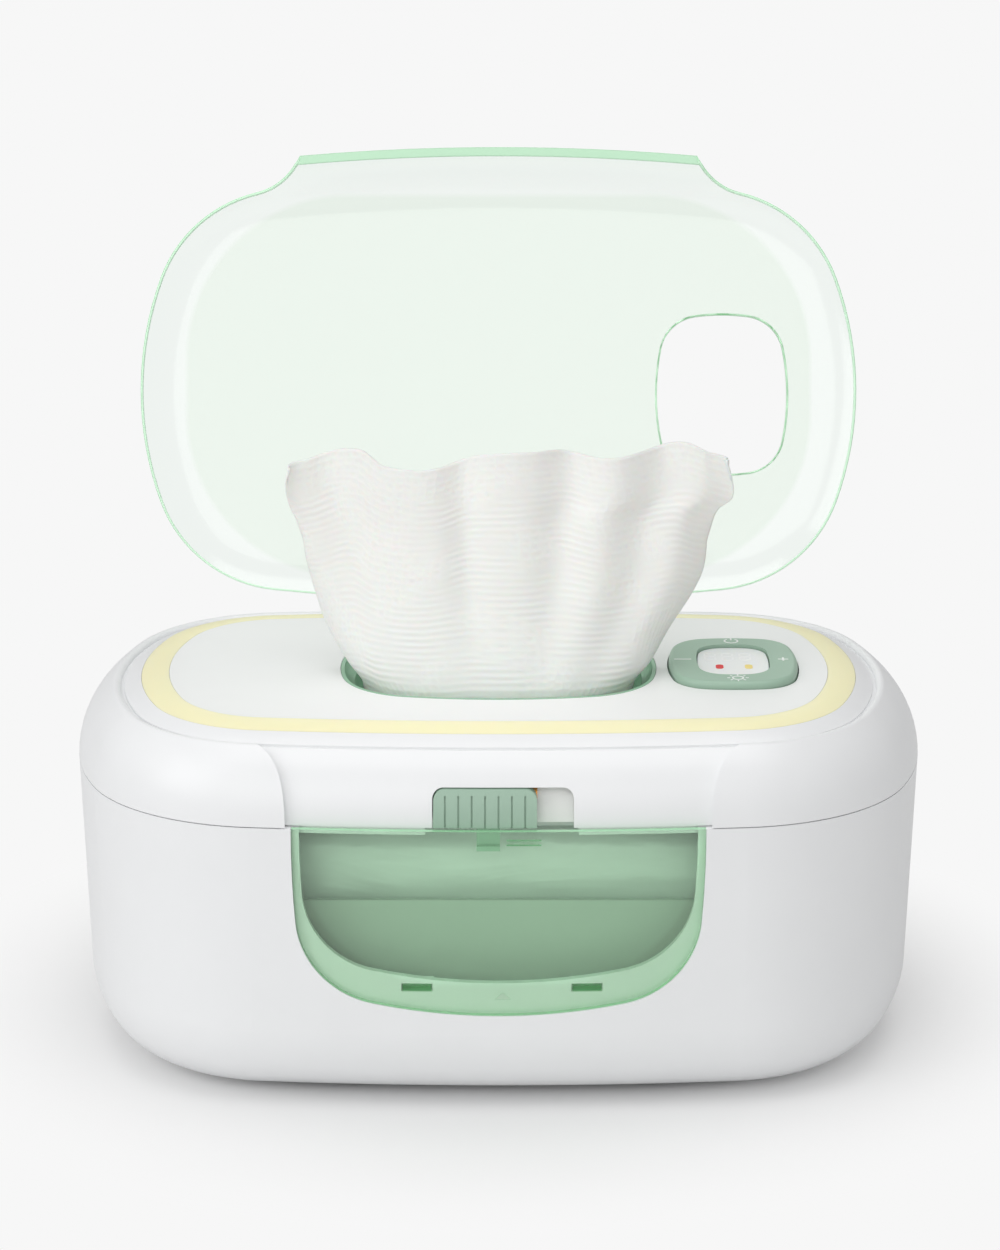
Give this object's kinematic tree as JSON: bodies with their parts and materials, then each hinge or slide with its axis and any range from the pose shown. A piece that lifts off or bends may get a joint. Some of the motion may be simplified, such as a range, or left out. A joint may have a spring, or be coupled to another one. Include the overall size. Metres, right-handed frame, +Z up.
{
  "type": "wipe warmer",
  "caption": "Low oval wipe warmer: white tub with a clear front window, hinged deck with keys, heater and latch, and a clear lid standing open over a drawn wipe.",
  "frame": {"origin": "On the table, under the middle of the box that holds the part with its lid open", "axes": "+X to the right seen from the front, -Y out of the front window, +Z up; the lid stands open and the deck is shut"},
  "size_m": [0.24, 0.1858, 0.237],
  "materials": {
    "shell_white": "satin moulded plastic",
    "plate_white": "satin moulded plastic",
    "diffuser_yellow": "milky light diffuser",
    "sage_plastic": "satin moulded plastic",
    "tank_green": "fine matte texture",
    "clear_mint": "clear tinted plastic, polished",
    "inner_white": "plain moulded plastic",
    "lens_white": "polished",
    "steel": "zinc plated",
    "heat_aluminium": "rolled sheet",
    "foot_rubber": "soft grey",
    "seal_silicone": "soft translucent grey",
    "foam_grey": "closed cell foam",
    "board_green": "solder mask",
    "led_phosphor": "clear over yellow",
    "black_plastic": "fine matte texture",
    "amber_film": "smooth film",
    "wire_black": "insulated wire",
    "wire_red": "insulated wire",
    "spring_bronze": "bare spring strip",
    "wipe_cloth": "embossed nonwoven",
    "pack_film": "soft printed film, left bare"
  },
  "bodies": {
    "base": {"base_shell": "shell_white", "window_pane": "clear_mint", "inner_tank": "tank_green", "bottom_cover": "inner_white", "cover_screws": "steel", "rubber_feet": "foot_rubber", "deck_hinge_pins": "steel", "wipe_pack": "pack_film"},
    "deck": {"deck_shell": "shell_white", "light_ring": "diffuser_yellow", "top_plate": "plate_white", "dispensing_rim": "sage_plastic", "led_board": "board_green", "led_chips": "led_phosphor", "control_board": "board_green", "key_switches": "black_plastic", "board_screws": "steel", "digit_display": "black_plastic", "display_lens": "lens_white", "latch_rail": "inner_white", "detent_spring": "spring_bronze", "heat_plate": "heat_aluminium", "heater_film": "amber_film", "thermal_fuse": "steel", "thermistor": "black_plastic", "foam_pad": "foam_grey", "deck_liner": "inner_white", "seal_gasket": "seal_silicone", "liner_screws": "steel", "dc_jack": "black_plastic", "power_lead": "wire_black", "heater_lead": "wire_red", "lid_hinge_pins": "steel", "wipe_sheet": "wipe_cloth"},
    "keys": {"key_ring": "sage_plastic"},
    "latch": {"latch_slider": "sage_plastic"},
    "lid": {"lid": "clear_mint"}
  },
  "joints": [
    {"name": "deck_hinge", "type": "hinge", "parent": "base", "child": "deck", "pos_m": [0, 0.06218, 0.084], "axis": [-1, 0, 0], "range_deg": [0, 80]},
    {"name": "lid_hinge", "type": "hinge", "parent": "deck", "child": "lid", "pos_m": [0, 0.05018, 0.103], "axis": [1, 0, 0], "range_deg": [0, 107.5], "deforming": ["wipe_sheet"]},
    {"name": "latch_slide", "type": "slide", "parent": "deck", "child": "latch", "axis": [1, 0, 0], "range_m": [0, 0.0095]},
    {"name": "key_press", "type": "slide", "parent": "deck", "child": "keys", "axis": [0, 0, -1], "range_m": [0, 0.0006], "stiffness_N_per_m": 800, "springref_m": -0.0005}
  ]
}
